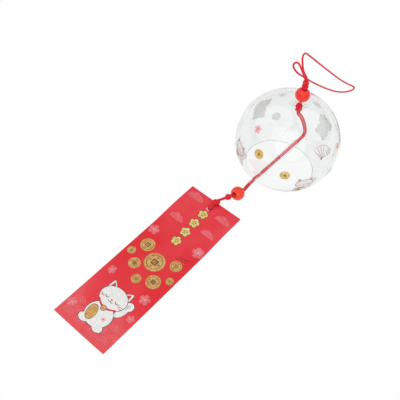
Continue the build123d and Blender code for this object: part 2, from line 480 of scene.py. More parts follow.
@dataclass
class MeshSketch:
    """Points and faces of one piece while it is being built."""

    points: list[Vector] = field(default_factory=list)
    faces: list[tuple[int, ...]] = field(default_factory=list)
    finishes: list[int] = field(default_factory=list)

    def add_face(self, corners: Sequence[int], finish: int = 0) -> None:
        """Add one face with the number of its finish."""
        self.faces.append(tuple(corners))
        self.finishes.append(finish)

    def add_rings(self, rings: Sequence[Sequence[Vector]], around: bool) -> None:
        """Join rings of points, each to the next.

        Args:
            rings: Rings with the same number of points each.
            around: Whether the last ring joins the first, or both ends are capped.
        """
        start, sides = len(self.points), len(rings[0])
        for ring in rings:
            self.points.extend(ring)
        count = len(rings)
        for i in range(count if around else count - 1):
            here, there = start + i * sides, start + (i + 1) % count * sides
            for k in range(sides):
                n = (k + 1) % sides
                self.add_face((here + k, here + n, there + n, there + k))
        if not around:
            self.add_face(range(start + sides - 1, start - 1, -1))
            self.add_face(range(start + (count - 1) * sides, start + count * sides))

    def add_lathe(self, profile: Sequence[Point], foot: Vector, axis: Vector, sides: int) -> None:
        """Turn a closed outline about an axis.

        Args:
            profile: Pairs of radius and height along the axis, in metres.
            foot: The point that heights are measured from.
            axis: The axis.
            sides: Points in each ring.
        """
        first = axis.orthogonal().normalized()
        second = axis.cross(first)
        turns = [2 * math.pi * k / sides for k in range(sides)]
        spokes = [first * math.cos(a) + second * math.sin(a) for a in turns]
        self.add_rings([[foot + axis * h + s * r for s in spokes] for r, h in profile], True)

    def add_slab(self, plan: Plan, place: Place, heights: Span, face: int, side: int) -> None:
        """Lay a thin closed slab on a surface.

        Args:
            plan: Flat points and cells.
            place: Gives a point in space for a flat point and a height.
            heights: Heights of the underside and of the upper side in metres.
            face: Number of both sides' finish.
            side: Number of the edges' finish.
        """
        flat, cells = plan
        low, high = heights
        upper = len(self.points)
        lower = upper + len(flat)
        self.points.extend(place(p, high) for p in flat)
        self.points.extend(place(p, low) for p in flat)
        edges = {(a, b) for cell in cells for a, b in zip(cell, (*cell[1:], cell[0]))}
        for cell in cells:
            self.add_face([upper + i for i in cell], face)
            self.add_face([lower + i for i in reversed(cell)], face)
        for a, b in edges:
            if (b, a) not in edges:
                self.add_face((upper + b, upper + a, lower + a, lower + b), side)

    def to_piece(self, name: str, materials: Sequence[Material], sharp: float) -> Piece:
        """Make the object.

        Args:
            name: The piece's name.
            materials: Its finishes in order.
            sharp: Edges that turn more than this many degrees stay crisp.

        Returns:
            The new object, in the row frame.
        """
        mesh = bpy.data.meshes.new(name)
        mesh.from_pydata(self.points, [], self.faces)
        for material in materials:
            mesh.materials.append(material)
        mesh.polygons.foreach_set("material_index", self.finishes)
        work = bmesh.new()
        work.from_mesh(mesh)
        bmesh.ops.recalc_face_normals(work, faces=work.faces)
        work.to_mesh(mesh)
        work.free()
        mesh.shade_smooth()
        mesh.set_sharp_from_angle(angle=math.radians(sharp))
        piece = bpy.data.objects.new(name, mesh)
        bpy.context.scene.collection.objects.link(piece)
        return piece


@dataclass
class BraidedCord:
    """Round braided cord, laid along smooth routes."""

    diameter: float = 1.4 * MM
    sides: int = 20
    plaits: int = 5
    pitch: float = 1.5 * MM
    relief: float = 0.07
    ring_gap: float = 0.2 * MM
    smoothness: int = 96

    def line(self, route: Sequence[Vector]) -> list[Vector]:
        """Points of the smooth curve that a route's points control.

        Args:
            route: The route's points in metres.

        Returns:
            Points read from the curve, at least a ring's gap apart.
        """
        curve = bpy.data.curves.new("route", "CURVE")
        curve.dimensions = "3D"
        curve.resolution_u = self.smoothness
        spline = curve.splines.new("NURBS")
        spline.points.add(len(route) - 1)
        for control, point in zip(spline.points, route):
            control.co = (*point, 1.0)
        spline.order_u = 3
        spline.use_endpoint_u = True
        holder = bpy.data.objects.new("route", curve)
        mesh = bpy.data.meshes.new_from_object(holder)
        points = [v.co.copy() for v in mesh.vertices]
        bpy.data.meshes.remove(mesh)
        bpy.data.objects.remove(holder)
        bpy.data.curves.remove(curve)
        kept = [points[0]]
        for point in points[1:-1]:
            clear = (points[-1] - point).length >= self.ring_gap
            if clear and (point - kept[-1]).length >= self.ring_gap:
                kept.append(point)
        return kept + [points[-1]]

    def lay(self, sketch: MeshSketch, line: Sequence[Vector], thickness: float = 1.0) -> None:
        """Add one braided strand along a line.

        Args:
            sketch: The piece that it goes into.
            line: The strand's centre points.
            thickness: Its share of the cord's diameter.
        """
        radius = self.diameter / 2 * thickness
        first = (line[1] - line[0]).normalized().orthogonal().normalized()
        walked = 0.0
        rings = []
        for i, point in enumerate(line):
            ahead = (line[min(i + 1, len(line) - 1)] - line[max(i - 1, 0)]).normalized()
            first = (first - ahead * first.dot(ahead)).normalized()
            second = ahead.cross(first)
            if i:
                walked += (point - line[i - 1]).length
            wave = math.cos(2 * math.pi * walked / self.pitch)
            ring = []
            for k in range(self.sides):
                angle = 2 * math.pi * k / self.sides
                swell = 1 + self.relief * (math.cos(self.plaits * angle) * wave - 0.5) / 1.5
                ring.append(point + (first * math.cos(angle) + second * math.sin(angle)) * radius * swell)
            rings.append(ring)
        sketch.add_rings(rings, False)


def beside(points: Sequence[Vector], normal: Vector, distance: float) -> list[Vector]:
    """Points of a strand that runs beside a route.

    Args:
        points: The route.
        normal: Square to the side that the strand lies on.
        distance: How far beside the route the strand runs.

    Returns:
        The strand's points.
    """
    runs = [(b - a).normalized() for a, b in zip(points, points[1:])]
    strand = []
    for point, before, after in zip(points, runs[:1] + runs, runs + runs[-1:]):
        side = normal.cross(before + after).normalized()
        strand.append(point + side * (distance / side.dot(normal.cross(before).normalized())))
    return strand


@dataclass
class CordWork:
    """The red cord: its loop, its strands through bell and tube, its link, its tie and its cut end.

    Routes are in millimetres from the place where each stretch starts. The shares of the clapper's
    route are along each axis, from the inner knot to the bend above the tube.
    """

    cord: BraidedCord
    material: Material
    strand_spacing: float = 1.5 * MM
    neck_above_bead: float = 6.1 * MM
    into_knot: float = 2.8 * MM
    knot_behind_bead: float = 7.6 * MM
    foot_run: float = 3.0 * MM
    bend_above_tube: float = 8.4 * MM
    loop_length: float = 0.332
    strand_length: float = 0.106
    neck_into_knot: float = 1.0 * MM
    link_share: float = 0.86
    link_into_knot: float = 1.9 * MM
    link_past_pivot: float = 2.6 * MM
    link_bend: float = 0.9 * MM
    tie_into_knot: float = 0.3 * MM
    cut_end_along_knot: float = 1.4 * MM

    LOOP_BEND = ((0.0, -0.5, 0.0), (0.0, 3.6, 0.0))
    LOOP_ROUTE = (
        (0.7, -0.3, -2.8), (0.7, -0.3, 0.0), (1.5, 4.4, 3.1), (4.6, 7.5, 5.0), (9.2, 11.2, 5.4),
        (15.7, 14.7, 3.9), (22.0, 16.2, 0.6), (30.3, 16.5, -8.0), (47.8, 16.1, -26.4),
        (67.9, 16.0, -47.2), (88.6, 15.5, -68.7), (106.1, 14.3, -85.3), (111.6, 12.0, -89.8),
        (111.2, 9.0, -89.8), (106.9, 8.8, -89.8), (99.0, 11.1, -88.1), (83.1, 13.1, -78.0),
        (60.5, 12.5, -58.2), (34.9, 10.4, -34.2), (18.1, 9.1, -17.7), (10.0, 9.1, -9.2),
        (4.1, 10.4, -3.2), (1.9, 12.7, 1.3), (1.7, 13.5, 4.3), (2.6, 12.3, 6.5), (2.5, 9.9, 7.3),
        (1.3, 7.1, 6.1), (0.1, 3.7, 3.3), (-0.8, 0.3, 0.0), (-0.8, 0.3, -2.8),
    )
    CLAPPER_SHARES = ((0.56, 0.33, 0.18), (0.94, 0.70, 0.56), (1.0, 1.0, 1.0))
    TAIL_BEND_END = (-2.8, -0.35, 0.0)
    TAIL_ROUTE = ((0.0, 0.0, 0.0), (-3.0, -0.35, -0.1), (-6.4, -0.9, 0.4), (-9.7, -1.5, 1.7))
    TIE_ROUTE = (
        (0.0, 0.0, 0.0), (-2.4, 0.1, -0.4), (-5.2, 0.1, -0.6), (-5.2, 0.1, -3.75), (-1.2, 0.0, -3.75),
        (2.4, -0.3, -3.75), (5.0, -0.8, -3.7), (5.6, -1.0, -2.2), (5.0, -1.0, -0.9),
    )
    CUT_END_HEADING = Vector((-0.42, -0.86, -0.28)).normalized()
    CUT_END_REACHES = (0.9, 2.6, 4.8)
    CUT_END_TURN = (-0.4, 0.0, 0.3)
    MELTED_TIP = ((0.02, -0.5), (0.45, -0.38), (0.62, 0.0), (0.45, 0.38), (0.02, 0.5))

    def sketch(self, *lines: Sequence[Vector], share: float = 1.0) -> MeshSketch:
        """Strands of cord along lines, each a share of the cord's thickness.

        Args:
            lines: Each strand's centre points.
            share: Share of the cord's thickness.

        Returns:
            The strands in one sketch.
        """
        sketch = MeshSketch()
        for line in lines:
            self.cord.lay(sketch, line, share)
        return sketch

    def pair(self, ends: Sequence[Vector], aside: Vector, spacing: float, share: float = 1.0) -> MeshSketch:
        """Two strands side by side through the same ends."""
        shifts = [aside * (side * spacing / 2) for side in (1, -1)]
        return self.sketch(*(self.cord.line([end + shift for end in ends]) for shift in shifts), share=share)

    def finish_piece(self, sketch: MeshSketch, name: str, *nodes: str) -> Piece:
        """Make a cord piece that stands for nodes of the frame.

        Args:
            sketch: The strands.
            name: The piece's name.
            nodes: The nodes.

        Returns:
            The piece.
        """
        piece = sketch.to_piece(name, [self.material], ROUND_FORM)
        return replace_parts(piece, *nodes)

    def build_loop(self) -> Piece:
        """The hanging loop, from the second knot round and back into it.

        Returns:
            The loop.
        """
        start = joint_place("loop_swing")
        line = self.cord.line([start + millimetres(*offset) for offset in self.LOOP_ROUTE])
        piece = self.finish_piece(self.sketch(line), "hanging_loop_cord", "hanging_loop")
        first, last = (start + millimetres(*offset) for offset in self.LOOP_BEND)
        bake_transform(piece)
        return piece

    def strand_route(self, side: int) -> list[Vector]:
        """One strand's route, from the inner knot through the tube and the lower bead.

        Args:
            side: 1 for the left strand, -1 for the right one.

        Returns:
            The route's points in metres.
        """
        start = joint_place("clapper_swing")
        foot, axis = joint_place("tube_spin"), joint_axis("tube_spin")
        tail = joint_place("tail_lift")
        knot = joint_place("lower_bead_spin") + joint_axis("lower_bead_spin") * self.knot_behind_bead
        bend = foot + axis * (TUBE_LENGTH + self.bend_above_tube)
        span = bend - start
        inside = [start]
        inside += [start + Vector(s * c for s, c in zip(span, share)) for share in self.CLAPPER_SHARES]
        inside.append(bend - axis * (bend - inside[-2]).length)
        inside.append(foot + axis * self.foot_run)
        strand = beside(inside, -joint_axis("clapper_swing"), side * self.strand_spacing / 2)
        outside = [tail + millimetres(*offset) for offset in self.TAIL_ROUTE] + [knot]
        strand += beside(outside, -UP, side * self.strand_spacing / 2)
        return [strand[0] + UP * self.into_knot, *strand]

    def build_strands(self) -> list[Piece]:
        """The two strands from the inner knot through the tube and the lower bead to the next knot.

        Returns:
            The left strand and the right one.
        """
        pieces = []
        tail = joint_place("tail_lift")
        for side, word in ((1, "left"), (-1, "right")):
            line = self.cord.line(self.strand_route(side))
            nodes = (f"clapper_strand_{word}", f"tail_strand_{word}")
            piece = self.finish_piece(self.sketch(line), f"{word}_strand_cord", *nodes)
            tail + millimetres(*self.TAIL_BEND_END)
            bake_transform(piece)
            pieces.append(piece)
        return pieces

    def build_neck(self) -> Piece:
        """The two short strands through the cord hole and the top bead.

        Returns:
            Both strands as one piece.
        """
        axis, bead = joint_axis("top_bead_spin"), joint_place("top_bead_spin")
        foot = joint_place("clapper_swing") + UP * INNER_KNOT_RISE
        aside = Vector((axis.z, 0, -axis.x)).normalized()
        ends = [foot - axis * self.neck_into_knot, bead, bead + axis * self.neck_above_bead]
        sketch = self.pair(ends, aside, self.strand_spacing)
        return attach(self.finish_piece(sketch, "neck_cords", "neck_strands"), "bell")

    def build_link(self) -> Piece:
        """The doubled cord between the knot behind the bead and the strip's knot.

        Returns:
            Both strands as one piece.
        """
        start, axis = joint_place("strip_turn"), joint_axis("strip_turn")
        pivot, onward = joint_place("strip_flap"), STRIP_KNOT_AXIS
        aside = axis.cross(UP).normalized()
        ends = [start - axis * self.link_into_knot, pivot, pivot + onward * self.link_past_pivot]
        sketch = self.pair(ends, aside, self.cord.diameter * self.link_share, self.link_share)
        piece = self.finish_piece(sketch, "link_cords", "link_cord")
        before, after = pivot - axis * self.link_bend, pivot + onward * self.link_bend
        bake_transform(piece)
        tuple(before)
        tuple(after)
        return piece

    def build_tie(self) -> list[Piece]:
        """The two strands from the strip's knot through the punched hole, round the top edge and back.

        Returns:
            The left strand and the right one.
        """
        run = STRIP_KNOT_START + STRIP_KNOT_LENGTH - self.tie_into_knot
        knot_end = joint_place("strip_flap") + STRIP_KNOT_AXIS * run
        pieces = []
        for side, word in ((1, "left"), (-1, "right")):
            level = Vector((0, side * self.strand_spacing / 2, 0))
            line = self.cord.line([knot_end + millimetres(*offset) + level for offset in self.TIE_ROUTE])
            piece = self.finish_piece(self.sketch(line), f"{word}_tie_cord", f"tie_strand_{word}")
            pieces.append(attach(piece, "strip"))
        return pieces

    def build_cut_end(self) -> Piece:
        """The cord's cut end beside the strip's knot, with the small bulge of a melted tip.

        Returns:
            The cut end.
        """
        wrap = joint_place("strip_flap") + STRIP_KNOT_AXIS * (STRIP_KNOT_START + self.cut_end_along_knot)
        ends = [wrap + self.CUT_END_HEADING * reach * MM for reach in self.CUT_END_REACHES]
        ends[-1] += millimetres(*self.CUT_END_TURN)
        line = self.cord.line(ends)
        sketch = self.sketch(line)
        tip = [(r * MM, h * MM) for r, h in self.MELTED_TIP]
        sketch.add_lathe(tip, line[-1], (line[-1] - line[-3]).normalized(), self.cord.sides)
        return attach(self.finish_piece(sketch, "cut_end_cord", "cut_end"), "strip")


@dataclass
class OverhandKnot:
    """A tight overhand knot of the doubled cord, drawn as its real crossing strands round a core.

    The strands follow a trefoil. The shares are of the knot's width and length, and the reaches are
    how far the trefoil's plain curve goes each way.
    """

    node: str
    body: str
    foot: Vector
    axis: Vector
    length: float
    width: float
    turned: float

    STEPS = 40
    REACH_ACROSS = 2.65
    REACH_ALONG = 2.9
    DEPTH_SHARE = 0.85
    STRAND_SHIFT = 0.75
    CORE_HALF_LENGTH = 0.46
    CORE_RADIUS = 0.36
    CORE_STEPS = 12
    CORE_SIDES = 24

    def route(self, strand: int, cord: BraidedCord) -> list[Vector]:
        """One strand's way through the knot.

        Args:
            strand: 1 or -1, for the two strands side by side.
            cord: The cord that is tied.

        Returns:
            The route's points in metres.
        """
        first = (Matrix.Rotation(self.turned, 3, self.axis) @ self.axis.orthogonal()).normalized()
        second = self.axis.cross(first)
        radius = cord.diameter / 2
        across, along = self.width / 2 - radius, self.length / 2 - radius
        middle = self.foot + self.axis * (self.length / 2)
        shift = strand * radius * self.STRAND_SHIFT
        points = []
        for k in range(self.STEPS + 1):
            t = 2 * math.pi * k / self.STEPS
            x = (math.sin(t) + 2 * math.sin(2 * t)) / self.REACH_ACROSS
            y = (math.cos(t) - 2 * math.cos(2 * t)) / self.REACH_ALONG
            z = -math.sin(3 * t)
            outward = first * (x * across) + second * (z * across * self.DEPTH_SHARE)
            points.append(middle + outward + self.axis * (y * along) + (first * y - self.axis * x) * shift)
        return points

    def build(self, cord: BraidedCord, material: Material) -> Piece:
        """Make the knot in place of its plain barrel.

        Args:
            cord: The cord that is tied.
            material: The cord's finish.

        Returns:
            The knot.
        """
        sketch = MeshSketch()
        for strand in (1, -1):
            cord.lay(sketch, cord.line(self.route(strand, cord)))
        half, girth = self.length * self.CORE_HALF_LENGTH, self.width * self.CORE_RADIUS
        angles = [math.pi * k / self.CORE_STEPS for k in range(self.CORE_STEPS + 1)]
        core = [(max(girth * math.sin(a), 0.01 * MM), half * (1 - math.cos(a))) for a in angles]
        core_foot = self.foot + self.axis * self.length * (0.5 - self.CORE_HALF_LENGTH)
        sketch.add_lathe(core, core_foot, self.axis, self.CORE_SIDES)
        piece = sketch.to_piece(self.node + "_strands", [material], ROUND_FORM)
        return stand_for(piece, "red_cord", self.body, self.node)


@dataclass
class KnotSet:
    """The five knots of the cord, each where its plain barrel stands."""

    past_top_bead: float = 5.831 * MM
    past_lower_bead: float = 6.831 * MM
    top_length: float = 3.4 * MM

    BEAD_KNOT_AXIS = Vector((-0.72, 0.58, -0.38)).normalized()

    def tie(self) -> list[OverhandKnot]:
        """The knots, with their length, width and turn.

        Returns:
            The knots, ready to build.
        """
        top = joint_place("top_bead_spin") + joint_axis("top_bead_spin") * self.past_top_bead
        second = top + UP * self.top_length
        inner = joint_place("clapper_swing") + UP * INNER_KNOT_RISE
        bead = joint_place("lower_bead_spin") + joint_axis("lower_bead_spin") * self.past_lower_bead
        strip = joint_place("strip_flap") + STRIP_KNOT_AXIS * STRIP_KNOT_START
        return [
            OverhandKnot("top_knot", "bell", top, UP, self.top_length, 4.8 * MM, 0.3),
            OverhandKnot("second_knot", "bell", second, UP, 3.2 * MM, 4.2 * MM, 1.4),
            OverhandKnot("inner_knot", "bell", inner, -UP, 7.0 * MM, 5.0 * MM, 0.8),
            OverhandKnot("bead_knot", "tail", bead, self.BEAD_KNOT_AXIS, 6.6 * MM, 4.4 * MM, 0.4),
            OverhandKnot("strip_knot", "strip", strip, STRIP_KNOT_AXIS, STRIP_KNOT_LENGTH, 4.2 * MM, 1.1),
        ]


@dataclass
class ThreadedBead:
    """A moulded bead with rounded bore edges and a faint mould line round its middle."""

    node: str
    joint: str
    finish: BeadFinish
    radius: float = 5.5 * MM
    bore: float = 3.4 * MM
    bore_edge: float = 0.35 * MM
    mould_line: float = 0.04 * MM
    mould_spread: float = 0.03
    half_steps: int = 24
    sides: int = 72

    def build(self) -> Piece:
        """Make the bead in place of its solid.

        Returns:
            The bead.
        """
        bore, edge = self.bore / 2, self.bore_edge
        rim = math.acos((bore + edge) / self.radius)
        profile = []
        for k in range(2 * self.half_steps + 1):
            a = rim * (k / self.half_steps - 1)
            reach = self.radius + self.mould_line * math.exp(-(a / self.mould_spread) ** 2)
            profile.append((reach * math.cos(a), reach * math.sin(a)))
        top = self.radius * math.sin(rim)
        turns = [math.pi / 8 * k for k in range(1, 5)]
        inside = [(bore + edge * (1 - math.sin(b)), top - edge * (1 - math.cos(b))) for b in turns]
        profile += inside + [(r, -h) for r, h in reversed(inside)]
        sketch = MeshSketch()
        sketch.add_lathe(profile, joint_place(self.joint), joint_axis(self.joint), self.sides)
        piece = sketch.to_piece(self.node + "_moulded", [self.finish.make()], TURNED_FORM)
        return stand_for(piece, self.node, self.node, self.node)


def let_light_through(piece: Piece) -> None:
    """Keep clear glass from shading what lies behind it."""
    piece.visible_shadow = False
    piece.visible_diffuse = False


@dataclass
class ClapperTube:
    """The clapper: a drawn glass tube with fire-polished ends."""

    sides: int = 64
    outer: float = 2.2 * MM
    inner: float = 1.65 * MM

    def build(self, material: Material) -> Piece:
        """Make the tube in place of its solid.

        Args:
            material: The glass.

        Returns:
            The tube.
        """
        wall = (self.outer - self.inner) / 2
        middle = (self.outer + self.inner) / 2
        turns = [math.pi * k / 10 for k in range(11)]
        foot = [(middle - wall * math.cos(a), wall * (1 - math.sin(a))) for a in turns]
        head = [(middle + wall * math.cos(a), TUBE_LENGTH - wall * (1 - math.sin(a))) for a in turns]
        sketch = MeshSketch()
        sketch.add_lathe(foot + head, joint_place("tube_spin"), joint_axis("tube_spin"), self.sides)
        piece = sketch.to_piece("drawn_tube", [material], TURNED_FORM)
        let_light_through(piece)
        return stand_for(piece, "tube_glass", "tube", "clapper_tube")


def polar(radius: float, angle: float, centre: Point = (0.0, 0.0)) -> Point:
    """A flat point at a distance and an angle in radians from a centre."""
    return centre[0] + radius * math.cos(angle), centre[1] + radius * math.sin(angle)


def turned_about(centre: Point, points: Sequence[Point], turn: float) -> list[Point]:
    """Points turned by some degrees and moved to a centre."""
    c, s = math.cos(math.radians(turn)), math.sin(math.radians(turn))
    return [(centre[0] + x * c - y * s, centre[1] + x * s + y * c) for x, y in points]


def middle_and_reach(outline: Sequence[Point]) -> tuple[float, float, float]:
    """The middle of an outline, and the distance to its furthest point.

    Args:
        outline: The outline's points.

    Returns:
        The middle's two places, and the distance.
    """
    cx = sum(p[0] for p in outline) / len(outline)
    cy = sum(p[1] for p in outline) / len(outline)
    return cx, cy, max(math.hypot(x - cx, y - cy) for x, y in outline)


def oval(a: float, b: float, centre: Point = (0.0, 0.0), turn: float = 0.0, count: int = 32) -> list[Point]:
    """An oval outline, a by b before it is turned.

    Args:
        a: Half its width.
        b: Half its height.
        centre: Its middle.
        turn: Degrees that it is turned.
        count: Points in the outline.

    Returns:
        The outline's points.
    """
    angles = [2 * math.pi * k / count for k in range(count)]
    return turned_about(centre, [(a * math.cos(t), b * math.sin(t)) for t in angles], turn)


def disc(radius: float, centre: Point = (0.0, 0.0), count: int = 32) -> list[Point]:
    """A round outline."""
    return oval(radius, radius, centre, 0.0, count)


def square(half: float) -> list[Point]:
    """A square outline, given half its side."""
    return [(-half, -half), (half, -half), (half, half), (-half, half)]


def flower(radius: float, centre: Point = (0.0, 0.0), turn: float = 0.0, notch: float = 0.0) -> list[Point]:
    """A five-petalled blossom's outline.

    Args:
        radius: Reach of the petals.
        centre: Its middle.
        turn: Degrees that it is turned.
        notch: Depth of the cut in each petal's tip, as a share.

    Returns:
        The outline's points.
    """
    count, tip_start = 80, 0.92
    points = []
    for k in range(count):
        t = 2 * math.pi * k / count
        lobe = abs(math.cos(2.5 * t))
        tip = max(0.0, (lobe - tip_start) / (1 - tip_start))
        reach = radius * (0.5 + 0.5 * lobe ** 0.6 - notch * tip)
        points.append(polar(reach, t + math.radians(turn), centre))
    return points


def ear(base: Point, width: float, height: float, turn: float) -> list[Point]:
    """A rounded triangle for an ear, standing on its base point.

    Args:
        base: Where it stands.
        width: Its width.
        height: Its height.
        turn: Degrees that it is turned.

    Returns:
        The outline's points.
    """
    steps = [k / 6 - 1 for k in range(13)]
    shape = [(t * width / 2, height * (1 - abs(t) ** 1.4)) for t in steps]
    shape.append((0.0, -0.25 * height))
    return turned_about(base, shape[::-1], turn)


def arc(centre: Point, radius: float, start: float, end: float, count: int = 12) -> list[Point]:
    """Points along an arc between two angles in degrees."""
    angles = [math.radians(start + (end - start) * k / count) for k in range(count + 1)]
    return [polar(radius, a, centre) for a in angles]


def star_plan(outline: Sequence[Point], step: float = 2.0) -> Plan:
    """Cells for an outline that can be seen whole from its middle.

    Args:
        outline: Points of the edge.
        step: Largest distance between rings of cells.

    Returns:
        Flat points and cells.
    """
    cx, cy, reach = middle_and_reach(outline)
    rings, count = max(1, math.ceil(reach / step)), len(outline)
    flat = [(cx, cy)]
    for ring in range(1, rings + 1):
        share = ring / rings
        flat += [(cx + (x - cx) * share, cy + (y - cy) * share) for x, y in outline]
    cells: list[tuple[int, ...]] = [(0, 1 + k, 1 + (k + 1) % count) for k in range(count)]
    for ring in range(rings - 1):
        here, there = 1 + ring * count, 1 + (ring + 1) * count
        for k in range(count):
            n = (k + 1) % count
            cells.append((here + k, there + k, there + n, here + n))
    return flat, cells


def line_plan(points: Sequence[Point], width: float) -> Plan:
    """Cells for a drawn line that tapers at both ends.

    Args:
        points: The line's points.
        width: Its width in the middle.

    Returns:
        Flat points and cells.
    """
    flat = []
    last = len(points) - 1
    for i, (x, y) in enumerate(points):
        (ax, ay), (bx, by) = points[max(i - 1, 0)], points[min(i + 1, last)]
        length = math.hypot(bx - ax, by - ay)
        nx, ny = -(by - ay) / length, (bx - ax) / length
        half = width / 2 * (0.45 + 0.55 * math.sin(math.pi * i / last))
        flat += [(x - nx * half, y - ny * half), (x + nx * half, y + ny * half)]
    return flat, [(2 * i, 2 * i + 2, 2 * i + 3, 2 * i + 1) for i in range(last)]


@dataclass
class Motif:
    """One printed figure, as layers of ink in millimetres about its own middle."""

    layers: list[tuple[Plan, Ink, int]] = field(default_factory=list)

    LIFT = 0.012 * MM
    LAYER = 0.014 * MM

    def fill(self, outline: Sequence[Point], ink: Ink, layer: int) -> None:
        """Add a filled shape."""
        self.layers.append((star_plan(outline), ink, layer))

    def edged(
        self, outline: Sequence[Point], ink: Ink, layer: int, edge: float, line: Ink = Ink.LINE
    ) -> None:
        """Add a filled shape with a thin line round it.

        Args:
            outline: The shape.
            ink: Its ink.
            layer: The line's layer, and one above it the fill's.
            edge: The line's width.
            line: The line's ink.
        """
        cx, cy, reach = middle_and_reach(outline)
        grow = 1 + edge / reach
        self.fill([(cx + (x - cx) * grow, cy + (y - cy) * grow) for x, y in outline], line, layer)
        self.fill(outline, ink, layer + 1)

    def stroke(self, points: Sequence[Point], width: float, ink: Ink, layer: int) -> None:
        """Add a drawn line."""
        self.layers.append((line_plan(points, width), ink, layer))

    def lay(self, name: str, place: Place, scale: float, inks: Inks) -> Piece:
        """Print the figure on a surface.

        Args:
            name: The piece's name.
            place: Gives a point in space for a flat point in millimetres and a height in metres.
            scale: Size of the print against the drawing.
            inks: The finished inks.

        Returns:
            The print.
        """
        used = sorted({ink for _, ink, _ in self.layers}, key=lambda ink: ink.name)
        sketch = MeshSketch()
        for (flat, cells), ink, layer in self.layers:
            number = used.index(ink)
            grown = ([(x * scale, y * scale) for x, y in flat], cells)
            low = self.LIFT + self.LAYER * layer
            sketch.add_slab(grown, place, (low, low + self.LAYER), number, number)
        return sketch.to_piece(name, [inks[ink] for ink in used], FLAT_FORM)


def petal_angles() -> list[float]:
    """The directions of five petals in radians, the first one up."""
    return [math.radians(90 + 72 * k) for k in range(5)]


def coin_motif(radius: float, metal: Ink, line: Ink) -> Motif:
    """A round coin with a square hole and a raised rim.

    Args:
        radius: Its radius.
        metal: The coin's ink.
        line: Its lines' ink.

    Returns:
        The drawing.
    """
    motif = Motif()
    motif.edged(disc(radius), metal, 0, 0.05 * radius, Ink.BRONZE)
    motif.fill(disc(radius * 0.80), line, 2)
    motif.fill(disc(radius * 0.75), metal, 3)
    hole = radius * 0.30
    motif.fill(square(hole), line, 4)
    motif.fill(square(hole * 0.72), Ink.BRONZE, 5)
    for turn in (0, 90, 180, 270):
        mark = polar(radius * 0.54, math.radians(turn + 90))
        motif.fill(oval(radius * 0.10, radius * 0.05, mark, turn, 12), line, 4)
    return motif


def fan_motif(radius: float) -> Motif:
    """An open folding fan with ribs.

    Args:
        radius: The ribs' length.

    Returns:
        The drawing.
    """
    motif = Motif()
    for k in range(7):
        a = math.radians(-57 + 19 * k)
        ends = [(r * radius * math.sin(a), r * radius * math.cos(a)) for r in (0.05, 0.5, 0.97)]
        motif.stroke(ends, radius * 0.036, Ink.RED, 0)
    motif.stroke(arc((0.0, 0.0), radius * 0.97, 33, 147, 24), radius * 0.03, Ink.BLUSH, 1)
    motif.fill(disc(radius * 0.07, count=16), Ink.LINE, 2)
    return motif


def blossom_motif(radius: float, petal: Ink, heart: Ink) -> Motif:
    """A five-petalled blossom with its stamens.

    Args:
        radius: Reach of the petals.
        petal: The petals' ink.
        heart: The stamens' ink.

    Returns:
        The drawing.
    """
    motif = Motif()
    motif.fill(flower(radius, turn=90, notch=0.12), petal, 0)
    for a in petal_angles():
        motif.stroke([polar(r * radius, a) for r in (0.08, 0.25, 0.42)], radius * 0.05, heart, 1)
        motif.fill(disc(radius * 0.05, polar(0.46 * radius, a), 10), heart, 1)
    motif.fill(disc(radius * 0.11, count=14), heart, 2)
    return motif


def crest_motif(radius: float) -> Motif:
    """A round plum-blossom crest in gold with a dark edge.

    Args:
        radius: Reach of the petals.

    Returns:
        The drawing.
    """
    motif = Motif()
    petals = [polar(0.56 * radius, a) for a in petal_angles()]
    for centre in petals:
        motif.edged(disc(radius * 0.37, centre, 24), Ink.PALE_GOLD, 0, radius * 0.09)
    motif.edged(disc(radius * 0.2, count=20), Ink.PALE_GOLD, 2, radius * 0.08)
    for x, y in petals:
        motif.stroke([(r * x, r * y) for r in (0.42, 0.8, 1.1)], radius * 0.06, Ink.LINE, 2)
    return motif


def branch_motif(length: float) -> Motif:
    """A thin bare twig with two side shoots and a bud.

    Args:
        length: The twig's length.

    Returns:
        The drawing.
    """
    motif = Motif()
    stem = ((0.0, 0.0), (0.28, 0.06), (0.6, 0.05), (1.0, 0.18))
    upper = (stem[1], (0.38, 0.2), (0.42, 0.3))
    lower = (stem[2], (0.72, -0.03), (0.85, -0.05))
    for layer, (line, width) in enumerate(((stem, 0.045), (upper, 0.03), (lower, 0.03))):
        points = [(x * length, y * length) for x, y in line]
        motif.stroke(points, length * width, Ink.LINE, min(layer, 1))
    motif.fill(disc(length * 0.045, (0.43 * length, 0.33 * length), 12), Ink.BLUSH, 2)
    return motif


def wave_motif(width: float, rows: int) -> Motif:
    """Rows of overlapping wave scales, paler than the ground.

    Args:
        width: A row's width.
        rows: How many rows.

    Returns:
        The drawing.
    """
    motif = Motif()
    size = width / 4
    for row in range(rows):
        for k in range(4 + row % 2):
            middle = ((k - 1.5 - 0.5 * (row % 2)) * size, row * size * 0.5)
            for ring in (0.48, 0.34, 0.2):
                motif.stroke(arc(middle, ring * size, 12, 168), 0.5, Ink.BLUSH, 0)
    return motif


def cloud_motif(width: float) -> Motif:
    """A drifting cloud of round lobes on a flat foot.

    Args:
        width: The cloud's width.

    Returns:
        The drawing.
    """
    motif = Motif()
    lobes = ((-0.30, 0.02, 0.15), (-0.08, 0.10, 0.21), (0.17, 0.06, 0.17), (0.36, 0.0, 0.11))
    for layer, (x, y, share) in enumerate(lobes):
        motif.fill(disc(width * share, (x * width, y * width)), Ink.MIST, layer)
    motif.fill(oval(width * 0.52, width * 0.09, (0.0, -0.07 * width)), Ink.MIST, len(lobes))
    return motif


